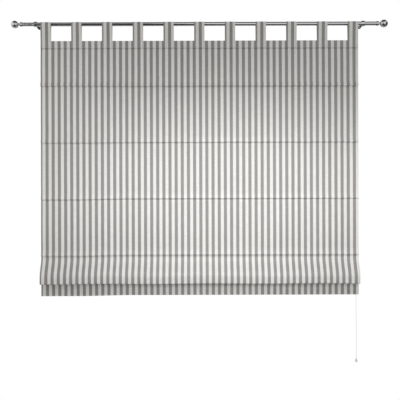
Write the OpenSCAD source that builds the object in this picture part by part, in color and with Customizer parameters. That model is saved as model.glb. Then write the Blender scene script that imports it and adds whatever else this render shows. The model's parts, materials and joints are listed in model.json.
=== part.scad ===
// Tab-top roman blind on a pole, with one pleat gathered at the bottom.
// The wall is the plane y = 0, the pole runs along x at z = 0, and the front faces -y.

/* [Cloth] */
// Width of the finished blind
blind_w = 1550; // [1300:10:1900]
// Thickness of the cloth
cloth_t = 1.2; // [0.8:0.1:1.6]
// From the pole's axis down to the top edge of the header band
header_drop = 82; // [60:1:110]
// Height of the header band
header_h = 36; // [36:1:50]
// From the header band's seam down to the first rod seam
first_drop = 186; // [140:1:240]
// Cloth between one rod seam and the next
pleat_pitch = 275; // [240:1:320]
// How far the gathered pleat stands out in front of the panel
fold_out = 44; // [36:1:54]
// Radius of the gathered pleat's lower bend
fold_r = 14; // [10:1:16]
// How far the lowest rod hangs below the rod above it
rod_lag = 20; // [17:1:30]
// From the lowest rod seam down to the bottom edge
skirt_drop = 175; // [150:1:220]
// Height of the pocket along the bottom edge
hem_h = 35; // [30:1:45]
// Width of the turned side hems
side_hem_w = 25; // [15:1:40]
// Width of one tab
tab_w = 50; // [40:1:70]

/* [Pole and finials] */
// Outer diameter of the pole
pole_d = 19; // [16:0.5:25]
// Wall of the pole
pole_wall = 1; // [0.8:0.1:1.5]
// From the edge of the cloth to the middle of a bracket
bracket_gap = 25; // [18:1:60]
// Pole beyond the middle of each bracket
pole_overhang = 66; // [30:1:120]
// Diameter of the finial's ball
ball_d = 38; // [30:1:60]
// Diameter of the finial's collar
collar_d = 22.5; // [21:0.5:30]
// Length of the finial's collar
collar_l = 10; // [6:0.5:16]
// Diameter of the finial's neck
neck_d = 12; // [9:0.5:16]
// Length of the neck between collar and ball
neck_l = 8; // [4:0.5:16]
// Length of the plug that holds the finial in the pole
plug_l = 24; // [14:1:40]

/* [Brackets] */
// From the wall to the pole's axis
pole_out = 95; // [75:1:130]
// Outer diameter of the bracket's ring
bracket_ring_d = 27; // [26:0.5:34]
// Width of the bracket's ring along the pole
bracket_ring_w = 16; // [12:0.5:24]
// Diameter of the bracket's arm
arm_d = 12; // [10:0.5:15]
// Diameter of the arm's sleeve at the wall
sleeve_d = 16; // [15:0.5:22]
// Length of the arm's sleeve at the wall
sleeve_l = 20; // [18:1:30]
// Diameter of the wall boss's spigot
spigot_d = 10; // [9:0.5:11]
// Length of the wall boss's spigot
spigot_l = 14; // [10:1:16]
// Thickness of the wall boss's flange
flange_t = 2; // [1.5:0.5:4]
// Diameter of the hole for the wall screw
wall_hole_d = 4.5; // [3.5:0.5:5]
// Diameter of the grub screws
grub_d = 4; // [3:0.5:5]

/* [Rods and batten] */
// Thickness of the header batten
batten_t = 5; // [4:0.5:8]
// Height of the header batten
batten_h = 30; // [26:1:32]
// Diameter of the stiffening rods
rod_d = 5; // [4:0.5:7]
// Thickness of the weight bar in the bottom hem
bar_t = 3; // [2:0.5:5]
// Height of the weight bar in the bottom hem
bar_h = 25; // [18:1:26]

/* [Lift cords] */
// Diameter of a lift cord
cord_d = 1.4; // [1:0.1:1.6]
// Spacing of the lift cords side by side
cord_gap = 1.6; // [1.6:0.1:2]
// From the edge of the cloth to the outer line of rings
cord_inset = 85; // [60:1:110]
// Inner diameter of a screw eye
eye_hole_d = 10; // [10:0.5:14]
// Wire of a screw eye
eye_wire_d = 3; // [2.5:0.5:4]
// Wire of a lift ring
ring_wire_d = 2; // [1.5:0.1:3]
// Bend of a lift cord where it leaves its eye
cord_bend = 3; // [2.8:0.1:4]
// Knot that ends a lift cord
knot_d = 3.6; // [2.5:0.1:4]

/* [Cord lock] */
// From the edge of the cloth to the line of the pull cord
pull_inset = 10; // [8:1:16]
// Length of the lock along the header
lock_l = 44; // [43:1:50]
// Thickness of the lock's walls
lock_wall = 2; // [1.5:0.5:2.5]
// Diameter of the lock's pulley in its groove
pulley_d = 12; // [10:0.5:13]
// Depth of the pulley's flanges
pulley_flange = 1.6; // [1:0.1:2]
// Diameter of the knurled locking roller
roller_d = 8; // [7:0.5:9]
// Diameter of the roller's and the pulley's axles
axle_d = 3; // [2.5:0.5:4]
// Travel of the roller from locked to released
roller_travel = 5; // [3:0.5:6]
// Diameter of the lock's wood screws
lock_screw_d = 3; // [2.5:0.5:3.5]

/* [Pull cord] */
// Diameter of the pull cord
pull_d = 2; // [1.6:0.1:2.4]
// Diameter of the piece that joins the lift cords to the pull cord
joiner_d = 12; // [11.6:0.2:15]
// Height of the piece that joins the lift cords to the pull cord
joiner_h = 18; // [16:1:26]
// Widest diameter of the acorn
acorn_d = 12; // [11:0.5:20]
// Height of the acorn
acorn_h = 18; // [16:1:36]

/* [Hidden] */

$fn = 48;
eps = 0.5;               // overlap of cutting tools past the face they cut

// Clearances
slide_gap = 0.3;         // round pieces that lie loose in cloth or in a bore
layer_gap = 0.2;         // cloth beside a flat bar
seat_gap = 0.1;          // pieces that are held against each other
bore_gap = 0.05;         // screws and pins in their holes

// Pole and brackets
pole_r = pole_d / 2;
bracket_x = blind_w / 2 + bracket_gap;
pole_l = 2 * (bracket_x + pole_overhang);
ring_bore_r = pole_r + slide_gap;
ring_chamfer = 1.5;
grub_key_d = grub_d / 2;
grub_key_depth = 1.5;
grub_short = 0.4;        // tip of a grub screw short of what it holds

// Layers of the header, measured from the pole's axis plane towards front and back
face_in = batten_t / 2 + layer_gap;
face_out = face_in + cloth_t;
tab_in = face_out + seat_gap;
tab_out = tab_in + cloth_t;
panel_y = -face_in - cloth_t / 2;
header_top_z = -header_drop;
header_seam_z = -header_drop - header_h;
batten_z = header_seam_z + cloth_t + layer_gap;
batten_inset = 3;

// Tabs, spread so that the outer ones end at the edges of the cloth
tab_count = 11;
tab_pitch = (blind_w - tab_w) / (tab_count - 1);
tab_leg_y = tab_in + cloth_t / 2;
tab_end_z = header_seam_z + cloth_t;
loop_r = pole_r + slide_gap + cloth_t / 2;
loop_steps = 24;
loop_touch = atan2(-header_drop, tab_leg_y) + acos(loop_r / norm([tab_leg_y, header_drop]));
loop_arc = [for (i = [0:loop_steps])
    let (a = 180 - loop_touch - (180 - 2 * loop_touch) * i / loop_steps)
    [loop_r * cos(a), loop_r * sin(a)]];
tab_path = concat(
    [[-tab_leg_y, tab_end_z], [-tab_leg_y, header_top_z]],
    loop_arc,
    [[tab_leg_y, header_top_z], [tab_leg_y, tab_end_z]]
);

// Rod seams and pockets
rod_count = 5;
pocket_in = rod_d / 2 + slide_gap;
pocket_out = pocket_in + cloth_t;
pocket_y = -face_in + pocket_out - cloth_t / 4;
pocket_drop = 3;
pocket_back = pocket_y + pocket_out;
groove = cloth_t / 2;
rod_inset = 2;
rod_l = blind_w - 2 * (side_hem_w + rod_inset);
function seam_z(k) = k < rod_count
    ? header_seam_z - first_drop - (k - 1) * pleat_pitch
    : seam_z(rod_count - 1) - rod_lag;
function rod_z(k) = seam_z(k) - pocket_drop;

// Gathered pleat: down in a slack S, round the lower bend and up to the lowest rod
slope_share = 0.12;      // cloth that the S takes up, for each unit that it stands out
fold_drop = (pleat_pitch + rod_lag - PI * fold_r) / 2 - slope_share * fold_out;
fold_steps = 16;
function ease(t) = t * t * (3 - 2 * t);
fold_front = [for (i = [0:fold_steps])
    [panel_y - fold_out * ease(i / fold_steps),
     seam_z(4) - fold_drop * i / fold_steps]];
fold_bend = [for (i = [1:fold_steps - 1])
    [panel_y - fold_out + fold_r * (1 - cos(180 * i / fold_steps)),
     seam_z(4) - fold_drop - fold_r * sin(180 * i / fold_steps)]];
fold_back_y = panel_y - fold_out + 2 * fold_r;
fold_back_rise = fold_drop - rod_lag;
fold_back = [for (i = [0:fold_steps])
    [fold_back_y + (panel_y - cloth_t / 2 - fold_back_y) * ease(i / fold_steps),
     seam_z(4) - fold_drop + fold_back_rise * i / fold_steps]];
fold_root = [[panel_y, seam_z(4) + 2 * cloth_t]];
fold_path = concat(fold_root, fold_front, fold_bend, fold_back);

// Skirt and bottom hem
skirt_z = seam_z(rod_count) - skirt_drop;
hem_back = -face_in + bar_t + 2 * layer_gap;
bar_inset = 4;

// Lift cords, eyes and rings
cord_count = 4;
cord_r = cord_d / 2;
cord_sides = 8;
bend_steps = 8;
knot_rings = 6;
eye_r = (eye_hole_d + eye_wire_d) / 2;
eye_od = eye_hole_d + 2 * eye_wire_d;
lead_y = tab_out + slide_gap + eye_od / 2;
eye_z = header_seam_z + header_h / 2;
lead_half = (cord_count - 1) / 2 * cord_gap;
lead_sag = sqrt(pow(eye_hole_d / 2 - cord_r - seat_gap, 2) - pow(lead_half, 2));
lead_z = eye_z - lead_sag;
tip_wood = 1;            // wood left in front of a screw's tip
eye_tip_y = -batten_t / 2 + tip_wood;
ring_od = 2 * (lead_y - pocket_back - layer_gap);
cord_pitch = (blind_w - 2 * cord_inset) / (cord_count - 1);
function column_x(k) = (k - (cord_count + 1) / 2) * cord_pitch;
function strand_y(k) = lead_y + (k - (cord_count + 1) / 2) * cord_gap;

// Cord lock on the back of the header
pull_x = blind_w / 2 - pull_inset;
wrap_r = pulley_d / 2 + cord_r + seat_gap;
pulley_x = pull_x - wrap_r;
pulley_z = lead_z - wrap_r;
pulley_flange_r = pulley_d / 2 + pulley_flange;
lock_front = tab_out + seat_gap;
lock_cavity = 2 * (lead_y - lock_front - lock_wall);
lock_back = lock_front + lock_cavity + 2 * lock_wall;
exit_gap = 2.3;
lock_right = pull_x + cord_r + exit_gap + lock_wall;
lock_left = lock_right - lock_l;
lock_lower = 2;          // lock below the header's top edge
lock_top = header_top_z - lock_lower;
lock_skirt = 4;          // housing below the pulley
lock_bottom = pulley_z - pulley_flange_r - lock_skirt;
lock_corner = 3;
part_gap = 0.3;
drum_w = lock_cavity - 2 * part_gap;
roller_inset = 2.2;
roller_rest = [lock_left + roller_inset + roller_d / 2, lead_z + cord_r + layer_gap + roller_d / 2];
roller_dir = [0.8, 0.6];
anvil_gap = 0.15;
anvil_top = lead_z - cord_r - anvil_gap;
anvil_t = 4;
anvil_right = pulley_x - pulley_flange_r - 2 * part_gap;
knurl_count = 16;
knurl_depth = 0.4;
pin_head_rim = 1;
pin_head_d = axle_d + 2 * pin_head_rim;
pin_head_t = 0.8;
screw_head_rim = 1.25;
screw_head_d = lock_screw_d + 2 * screw_head_rim;
screw_head_t = 1.6;
screw_slot_w = 0.8;
screw_tip_y = -batten_t / 2 + tip_wood;
access_gap = 0.25;
screw_inset = 6;         // lower screw from the lock's open end
screw_under = 1.2;       // lower screw's head below the anvil
screw_aside = 10;        // upper screw from the pulley's axle
screw_below = 2;         // upper screw's head below the lock's roof
lock_screw_at = [
    [lock_left + screw_inset, anvil_top - anvil_t - screw_head_d / 2 - screw_under],
    [pulley_x - screw_aside, lock_top - lock_wall - screw_head_d / 2 - screw_below]
];

// Pull cord, hung from the joiner; the joiner stops at the lock when the last pleat is let down
joiner_slack = 3;
joiner_z = lock_bottom - (pleat_pitch - rod_lag) - joiner_slack;
joiner_bore_d = 2 * (lead_half + cord_r + part_gap);
joiner_bore_h = 11;
joiner_chamfer = 0.8;
tail_lift = 4;           // ends of the lift cords above the floor of the joiner's bore
pull_gap = 0.2;
pull_hole_d = pull_d + 2 * pull_gap;
pull_route = [
    [0, 0], [0, -80], [0, -160], [0, -240], [0, -320], [0, -400],
    [0, -480], [0, -560], [0, -640], [0, -720], [0, -800], [0, -880],
    [0, -960], [0, -1040], [0, -1120], [0, -1200], [0, -1256]
];
pull_tuck = 1;           // end of the pull cord above the floor of the joiner's bore
pull_top_z = joiner_z - joiner_bore_h + pull_tuck;
pull_knot_d = 2 * pull_d;
acorn_neck_h = 7;
acorn_z = pull_top_z + pull_route[len(pull_route) - 1][1] + acorn_neck_h + seat_gap;
acorn_steps = 20;
acorn_top_r = 2.6;
acorn_turn = 150;        // share of a half wave, in degrees, that shapes its side
acorn_low = 1.35;        // how low its widest part sits
acorn_full = 0.8;        // how full its shoulder is
acorn_room = 1;          // room round the knot
acorn_cavity_d = pull_knot_d + 2 * acorn_room;
acorn_cavity_h = acorn_h - acorn_neck_h;

// Colours
metal = "#b9bbbe";
steel = "#8d9093";
linen = "#c8c7c1";
timber = "#c9ab80";
glass_fibre = "#ecece6";
plastic = "#f0f0ec";
string = "#f4f3ee";

// Shared shapes

// Places a piece relative to the pole's axis
module at_pole() {
    translate([0, -pole_out, 0])
        children();
}

// Carries a section drawn in (y, z) along x
module along_x(length) {
    rotate([90, 0, 90])
        linear_extrude(height = length, center = true)
            children();
}

// Cylinder along y from one depth to another
module rod_y(d, from, to) {
    translate([0, from, 0])
        rotate([-90, 0, 0])
            cylinder(d = d, h = to - from);
}

// Cylinder along x from one place to another
module rod_x(d, from, to) {
    translate([from, 0, 0])
        rotate([0, 90, 0])
            cylinder(d = d, h = to - from);
}

// Flat strip of cloth between two depths and two heights
module strip(y0, y1, z0, z1) {
    translate([y0, z0])
        square([y1 - y0, z1 - z0]);
}

// Band of even thickness along a path
function turn(p) = [-p[1], p[0]] / norm(p);
function side(path, i) =
    turn(path[min(i + 1, len(path) - 1)] - path[max(i - 1, 0)]);
module ribbon(path, t) {
    last = len(path) - 1;
    polygon(concat(
        [for (i = [0:last]) path[i] + side(path, i) * t / 2],
        [for (i = [last:-1:0]) path[i] - side(path, i) * t / 2]
    ));
}

module torus(r, wire_d) {
    rotate_extrude()
        translate([r, 0])
            circle(d = wire_d);
}

// Cord swept along a path of [x, z] points, with its own radius at each point
module cord_sweep(path, radii) {
    count = len(path);
    points = [for (i = [0:count - 1]) for (j = [0:cord_sides - 1])
        let (a = 360 * j / cord_sides, n = side(path, i))
        [path[i][0] + radii[i] * cos(a) * n[0], radii[i] * sin(a), path[i][1] + radii[i] * cos(a) * n[1]]];
    walls = [for (i = [0:count - 2]) for (j = [0:cord_sides - 1])
        let (next = (j + 1) % cord_sides)
        [i * cord_sides + j, i * cord_sides + next,
         (i + 1) * cord_sides + next, (i + 1) * cord_sides + j]];
    first = [for (j = [cord_sides - 1:-1:0]) j];
    last = [for (j = [0:cord_sides - 1]) (count - 1) * cord_sides + j];
    polyhedron(points, concat(walls, [first, last]));
}

// Rings of a knot at the end of a cord: steps along it, and radii down to a blunt tip
function knot_steps(d) = [for (i = [1:knot_rings]) d / 2 * (1 - cos(180 * i / knot_rings))];
function knot_radii(d, r) = [for (i = [1:knot_rings])
    max(i == knot_rings ? r / 2 : r, d / 2 * sin(180 * i / knot_rings))];

// Places of the fixings that pass through the back of the header
module fixing_holes() {
    for (k = [1:cord_count])
        translate([column_x(k), 0, eye_z])
            rod_y(eye_wire_d + 2 * bore_gap, eye_tip_y - bore_gap, lead_y);
    for (at = lock_screw_at)
        translate([at[0], 0, at[1]])
            rod_y(lock_screw_d + 2 * bore_gap, screw_tip_y - bore_gap, lead_y);
}

// Pole, finials and brackets

module pole() {
    color(metal)
        at_pole()
            difference() {
                rod_x(pole_d, -pole_l / 2, pole_l / 2);
                rod_x(pole_d - 2 * pole_wall, -pole_l / 2 - eps, pole_l / 2 + eps);
            }
}

// Plug, collar, neck and ball turned as one piece; dir is 1 at the right end, -1 at the left
module finial(dir) {
    collar_end = pole_l / 2 + collar_l;
    ball_x = collar_end + neck_l + sqrt(pow(ball_d / 2, 2) - pow(neck_d / 2, 2));
    color(metal)
        at_pole()
            rotate([0, 0, dir > 0 ? 0 : 180]) {
                rod_x(pole_d - 2 * pole_wall - 2 * bore_gap, pole_l / 2 - plug_l, collar_end);
                rod_x(collar_d, pole_l / 2, collar_end);
                rod_x(neck_d, collar_end - eps, ball_x);
                translate([ball_x, 0, 0])
                    sphere(d = ball_d);
            }
}

// Ring with chamfered rims on an arm that ends in a sleeve over the wall boss
module bracket(dir) {
    ring_r = bracket_ring_d / 2;
    half_w = bracket_ring_w / 2;
    color(metal)
        translate([dir * bracket_x, 0, 0])
            difference() {
                union() {
                    at_pole()
                        rotate([0, 90, 0])
                            rotate_extrude()
                                polygon([
                                    [0, -half_w], [ring_r - ring_chamfer, -half_w],
                                    [ring_r, -half_w + ring_chamfer], [ring_r, half_w - ring_chamfer],
                                    [ring_r - ring_chamfer, half_w], [0, half_w]
                                ]);
                    rod_y(arm_d, -pole_out, -flange_t - sleeve_l + eps);
                    rod_y(sleeve_d, -flange_t - sleeve_l, -flange_t);
                }
                at_pole()
                    rod_x(2 * ring_bore_r, -bracket_ring_w, bracket_ring_w);
                rod_y(spigot_d + 2 * bore_gap, -flange_t - spigot_l - seat_gap, 0);
                bracket_grubs(bore_gap);
            }
}

// Both grub screws of a bracket, from below; grow widens them into their holes
module bracket_grubs(grow) {
    at_pole()
        translate([0, 0, -bracket_ring_d / 2 + grub_key_depth / 4 - 2 * grow])
            cylinder(d = grub_d + 2 * grow, h = bracket_ring_d / 2 - pole_r - grub_short + 2 * grow);
    translate([0, -flange_t - spigot_l / 2, -sleeve_d / 2 + grub_key_depth / 4 - 2 * grow])
        cylinder(d = grub_d + 2 * grow, h = (sleeve_d - spigot_d) / 2 - grub_short + 2 * grow);
}

module bracket_screws() {
    color(steel)
        for (dir = [-1, 1])
            translate([dir * bracket_x, 0, 0])
                difference() {
                    bracket_grubs(0);
                    translate([0, -pole_out, -bracket_ring_d / 2])
                        cylinder(d = grub_key_d, h = grub_key_depth, $fn = 6);
                    translate([0, -flange_t - spigot_l / 2, -sleeve_d / 2])
                        cylinder(d = grub_key_d, h = grub_key_depth, $fn = 6);
                }
}

module wall_boss(dir) {
    color(steel)
        translate([dir * bracket_x, 0, 0])
            difference() {
                union() {
                    rod_y(sleeve_d, -flange_t, 0);
                    rod_y(spigot_d, -flange_t - spigot_l, 0);
                }
                rod_y(wall_hole_d, -flange_t - spigot_l - eps, eps);
            }
}

// Cloth

// Up the front of the header, over the pole and down the back of the header
module tab(i) {
    color(linen)
        at_pole()
            difference() {
                translate([(i - (tab_count + 1) / 2) * tab_pitch, 0, 0])
                    along_x(tab_w)
                        ribbon(tab_path, cloth_t);
                fixing_holes();
            }
}

module cloth_section() {
    difference() {
        union() {
            strip(-face_out, face_out, header_seam_z, header_top_z);
            strip(-face_out, -face_in, seam_z(rod_count - 1), header_seam_z + eps);
            strip(-face_out, -face_in, skirt_z, seam_z(rod_count));
            strip(-face_out, hem_back + cloth_t, skirt_z, skirt_z + hem_h);
            ribbon(fold_path, cloth_t);
            for (k = [1:rod_count])
                translate([pocket_y, rod_z(k)])
                    circle(r = pocket_out);
        }
        strip(-face_in, face_in, header_seam_z + cloth_t, header_top_z - cloth_t);
        strip(-face_in, hem_back, skirt_z + cloth_t, skirt_z + hem_h - cloth_t);
        for (k = [1:rod_count]) {
            translate([pocket_y, rod_z(k)])
                circle(r = pocket_in);
        }
        for (z = [header_seam_z, for (k = [1:rod_count - 1]) seam_z(k)])
            polygon([[-face_out - eps, z + eps + groove], [-face_out + groove, z],
                     [-face_out - eps, z - eps - groove]]);
    }
}

module blind_cloth() {
    color(linen)
        at_pole() {
            difference() {
                along_x(blind_w)
                    cloth_section();
                fixing_holes();
            }
            for (dir = [-1, 1])
                translate([dir * (blind_w - side_hem_w) / 2, 0, 0])
                    along_x(side_hem_w) {
                        strip(-face_in, -face_in + cloth_t, seam_z(rod_count - 1), header_seam_z);
                        strip(-face_in, -face_in + cloth_t, skirt_z + hem_h, seam_z(rod_count));
                    }
        }
}

// Batten, rods and weight bar

module header_batten() {
    color(timber)
        at_pole()
            difference() {
                along_x(blind_w - 2 * batten_inset)
                    strip(-batten_t / 2, batten_t / 2, batten_z, batten_z + batten_h);
                fixing_holes();
            }
}

module rod(k) {
    color(glass_fibre)
        at_pole()
            translate([0, pocket_y, rod_z(k)])
                rod_x(rod_d, -rod_l / 2, rod_l / 2);
}

module bottom_bar() {
    bar_z = skirt_z + cloth_t + layer_gap;
    color(metal)
        at_pole()
            along_x(blind_w - 2 * bar_inset)
                strip(-face_in + layer_gap, -face_in + layer_gap + bar_t, bar_z, bar_z + bar_h);
}

// Rings, eyes and lift cords

module rings(k) {
    color(plastic)
        at_pole()
            for (c = [1:cord_count])
                translate([column_x(c) - cord_bend, lead_y, rod_z(k)])
                    torus((ring_od - ring_wire_d) / 2, ring_wire_d);
}

module screw_eyes() {
    color(steel)
        at_pole()
            for (k = [1:cord_count])
                translate([column_x(k), 0, eye_z]) {
                    translate([0, lead_y, 0])
                        rotate([0, 90, 0])
                            torus(eye_r, eye_wire_d);
                    rod_y(eye_wire_d, eye_tip_y, lead_y - eye_r);
                }
}

// From the joiner up over the pulley, along the header to its eye, and down through its rings
module lift_cord(k) {
    drop_x = column_x(k) - cord_bend;
    tail_z = joiner_z - joiner_bore_h + tail_lift;
    knot_z = rod_z(rod_count) + knot_d / 2;
    run = concat(
        [[pull_x, tail_z]],
        [for (i = [0:bend_steps]) let (a = 90 * i / bend_steps)
            [pulley_x + wrap_r * cos(a), pulley_z + wrap_r * sin(a)]],
        [for (i = [0:bend_steps]) let (a = 90 + 90 * i / bend_steps)
            [column_x(k) + cord_bend * cos(a), lead_z - cord_bend + cord_bend * sin(a)]],
        [[drop_x, knot_z]]
    );
    knot = [for (s = knot_steps(knot_d)) [drop_x, knot_z - s]];
    color(string)
        at_pole()
            translate([0, strand_y(k), 0])
                cord_sweep(concat(run, knot), concat([for (p = run) cord_r], knot_radii(knot_d, cord_r)));
}

// Cord lock

// Plate with rounded corners, drawn in (x, z)
module lock_plate_outline() {
    for (x = [lock_left + lock_corner, lock_right - lock_corner])
        for (z = [lock_bottom + lock_corner, lock_top - lock_corner])
            translate([x, z])
                circle(r = lock_corner);
    translate([lock_left + lock_corner, lock_bottom])
        square([lock_l - 2 * lock_corner, lock_top - lock_bottom]);
    translate([lock_left, lock_bottom + lock_corner])
        square([lock_l, lock_top - lock_bottom - 2 * lock_corner]);
}

// Carries an outline drawn in (x, z) from one depth to another
module along_y(from, to) {
    translate([0, to, 0])
        rotate([90, 0, 0])
            linear_extrude(height = to - from)
                children();
}

// Inclined slot for the roller's axle
module roller_slot() {
    slot_d = axle_d + 2 * seat_gap;
    translate(roller_rest) {
        circle(d = slot_d);
        rotate(atan2(roller_dir[1], roller_dir[0]))
            translate([0, -slot_d / 2])
                square([roller_travel, slot_d]);
        translate(roller_dir * roller_travel)
            circle(d = slot_d);
    }
}

module lock_housing() {
    inside_front = lock_front + lock_wall;
    inside_back = lock_back - lock_wall;
    color(plastic)
        at_pole()
            difference() {
                along_y(lock_front, lock_back)
                    lock_plate_outline();
                translate([lock_left - eps, inside_front, anvil_top])
                    cube([lock_l + eps - lock_wall, lock_cavity, lock_top - lock_wall - anvil_top]);
                translate([anvil_right, inside_front, lock_bottom - eps])
                    cube([lock_right - lock_wall - anvil_right, lock_cavity, anvil_top - lock_bottom + 2 * eps]);
                translate([lock_left - eps, inside_front, lock_bottom - eps])
                    cube([lock_l / 2, lock_cavity, anvil_top - anvil_t - lock_bottom + eps]);
                along_y(lock_front - eps, lock_back + eps)
                    roller_slot();
                translate([pulley_x, 0, pulley_z])
                    rod_y(axle_d + 2 * bore_gap, lock_front - eps, lock_back + eps);
                for (at = lock_screw_at)
                    translate([at[0], 0, at[1]]) {
                        rod_y(lock_screw_d + 2 * bore_gap, lock_front - eps, inside_front + eps);
                        rod_y(screw_head_d + 2 * access_gap, inside_back - eps, lock_back + eps);
                    }
            }
}

module lock_roller() {
    knurl_r = roller_d / 2;
    color(steel)
        at_pole()
            translate([roller_rest[0], 0, roller_rest[1]]) {
                rod_y(axle_d, lock_front + 2 * seat_gap, lock_back - 2 * seat_gap);
                along_y(lead_y - drum_w / 2, lead_y + drum_w / 2)
                    polygon([for (i = [0:2 * knurl_count - 1])
                        let (r = i % 2 == 0 ? knurl_r : knurl_r - knurl_depth,
                             a = 360 * i / (2 * knurl_count))
                        [r * cos(a), r * sin(a)]]);
            }
}

module lock_pulley() {
    groove_half = lead_half + cord_r + part_gap;
    color(plastic)
        at_pole()
            translate([pulley_x, lead_y, pulley_z])
                difference() {
                    union() {
                        rod_y(pulley_d, -drum_w / 2, drum_w / 2);
                        rod_y(2 * pulley_flange_r, -drum_w / 2, -groove_half);
                        rod_y(2 * pulley_flange_r, groove_half, drum_w / 2);
                    }
                    rod_y(axle_d + 2 * seat_gap, -drum_w, drum_w);
                }
}

module pulley_pin() {
    color(steel)
        at_pole()
            translate([pulley_x, 0, pulley_z]) {
                rod_y(axle_d, lock_front + 2 * seat_gap, lock_back + pin_head_t);
                rod_y(pin_head_d, lock_back, lock_back + pin_head_t);
            }
}

module lock_screws() {
    inside_front = lock_front + lock_wall;
    color(steel)
        at_pole()
            for (at = lock_screw_at)
                translate([at[0], 0, at[1]])
                    difference() {
                        union() {
                            rod_y(lock_screw_d, screw_tip_y, inside_front + eps);
                            rod_y(screw_head_d, inside_front, inside_front + screw_head_t);
                        }
                        translate([-screw_head_d, inside_front + screw_head_t / 2, -screw_slot_w / 2])
                            cube([2 * screw_head_d, screw_head_t, screw_slot_w]);
                    }
}

// Pull cord with its joiner and acorn

module cord_joiner() {
    color(plastic)
        at_pole()
            translate([pull_x, lead_y, joiner_z])
                difference() {
                    rotate_extrude()
                        polygon([
                            [0, 0], [joiner_d / 2 - joiner_chamfer, 0], [joiner_d / 2, -joiner_chamfer],
                            [joiner_d / 2, -joiner_bore_h], [joiner_d / 4, -joiner_h + joiner_chamfer],
                            [joiner_d / 4 - joiner_chamfer, -joiner_h], [0, -joiner_h]
                        ]);
                    translate([0, 0, -joiner_bore_h])
                        cylinder(d = joiner_bore_d, h = joiner_bore_h + eps);
                    translate([0, 0, -joiner_h - eps])
                        cylinder(d = pull_hole_d, h = joiner_h);
                }
}

module pull_cord() {
    end = pull_route[len(pull_route) - 1];
    knot = [for (s = knot_steps(pull_knot_d)) end - [0, s]];
    color(string)
        at_pole()
            translate([pull_x, lead_y, pull_top_z])
                cord_sweep(
                    concat(pull_route, knot),
                    concat([for (p = pull_route) pull_d / 2], knot_radii(pull_knot_d, pull_d / 2))
                );
}

// Turned bell with a full lower half, a narrow neck for the cord and a hollow for its knot
module cord_acorn() {
    full_r = acorn_d / 2;
    profile = [for (i = [0:acorn_steps])
        let (t = i / acorn_steps)
        [acorn_top_r + (full_r - acorn_top_r) * pow(sin(acorn_turn * pow(t, acorn_low)), acorn_full),
         -acorn_h * t]];
    color(plastic)
        at_pole()
            translate([pull_x, lead_y, acorn_z])
                difference() {
                    rotate_extrude()
                        polygon(concat([[0, 0]], profile, [[0, -acorn_h]]));
                    translate([0, 0, -acorn_h])
                        cylinder(d = pull_hole_d, h = acorn_h + eps);
                    translate([0, 0, -acorn_h - eps])
                        cylinder(d = acorn_cavity_d, h = acorn_cavity_h + eps);
                }
}

pole();
finial(-1);  // finial_left
finial(1);  // finial_right
bracket(-1);  // bracket_left
bracket(1);  // bracket_right
wall_boss(-1);  // wall_boss_left
wall_boss(1);  // wall_boss_right
bracket_screws();
tab(1);  // tab_1
tab(2);  // tab_2
tab(3);  // tab_3
tab(4);  // tab_4
tab(5);  // tab_5
tab(6);  // tab_6
tab(7);  // tab_7
tab(8);  // tab_8
tab(9);  // tab_9
tab(10);  // tab_10
tab(11);  // tab_11
blind_cloth();
header_batten();
rod(1);  // rod_1
rod(2);  // rod_2
rod(3);  // rod_3
rod(4);  // rod_4
rod(5);  // rod_5
bottom_bar();
rings(1);  // rings_1
rings(2);  // rings_2
rings(3);  // rings_3
rings(4);  // rings_4
rings(5);  // rings_5
screw_eyes();
lock_housing();
lock_roller();
lock_pulley();
pulley_pin();
lock_screws();
lift_cord(1);  // lift_cord_1
lift_cord(2);  // lift_cord_2
lift_cord(3);  // lift_cord_3
lift_cord(4);  // lift_cord_4
cord_joiner();
pull_cord();
cord_acorn();
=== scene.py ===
import json
from math import pi, radians

import bpy
import numpy as np
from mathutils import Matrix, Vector


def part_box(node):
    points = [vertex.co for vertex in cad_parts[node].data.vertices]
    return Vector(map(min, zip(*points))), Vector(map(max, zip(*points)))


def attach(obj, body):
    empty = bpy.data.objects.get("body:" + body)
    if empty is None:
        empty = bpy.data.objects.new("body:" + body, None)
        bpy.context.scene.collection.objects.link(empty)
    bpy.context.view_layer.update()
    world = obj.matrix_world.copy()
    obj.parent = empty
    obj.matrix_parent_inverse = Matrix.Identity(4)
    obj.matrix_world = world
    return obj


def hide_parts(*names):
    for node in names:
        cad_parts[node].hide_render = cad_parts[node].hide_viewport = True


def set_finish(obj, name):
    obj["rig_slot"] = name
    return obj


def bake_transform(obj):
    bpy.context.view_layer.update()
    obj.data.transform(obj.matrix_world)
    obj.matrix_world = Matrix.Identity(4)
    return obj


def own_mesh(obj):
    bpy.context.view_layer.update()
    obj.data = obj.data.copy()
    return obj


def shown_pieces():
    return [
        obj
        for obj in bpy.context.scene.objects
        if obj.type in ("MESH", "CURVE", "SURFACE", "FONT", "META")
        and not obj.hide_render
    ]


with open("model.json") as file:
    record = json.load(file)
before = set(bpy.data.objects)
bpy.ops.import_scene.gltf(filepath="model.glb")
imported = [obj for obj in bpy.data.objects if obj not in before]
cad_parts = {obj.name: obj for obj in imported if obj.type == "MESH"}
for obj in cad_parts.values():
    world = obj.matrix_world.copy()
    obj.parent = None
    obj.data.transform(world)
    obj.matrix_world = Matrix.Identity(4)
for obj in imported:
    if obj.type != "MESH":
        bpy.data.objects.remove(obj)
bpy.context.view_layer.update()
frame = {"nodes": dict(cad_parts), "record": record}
print("frame loaded,", len(frame["nodes"]), "nodes")


def nodeSpan(name):  # lowest and highest corner of a CAD node
    low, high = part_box(name)
    return np.array(low), np.array(high)


def nodeMiddle(name):  # halfway between those corners
    return np.mean(nodeSpan(name), axis=0)


def addObject(name, data):  # a new object at the origin, in the scene
    newOne = bpy.data.objects.new(name, data)
    bpy.context.scene.collection.objects.link(newOne)
    return newOne


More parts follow.
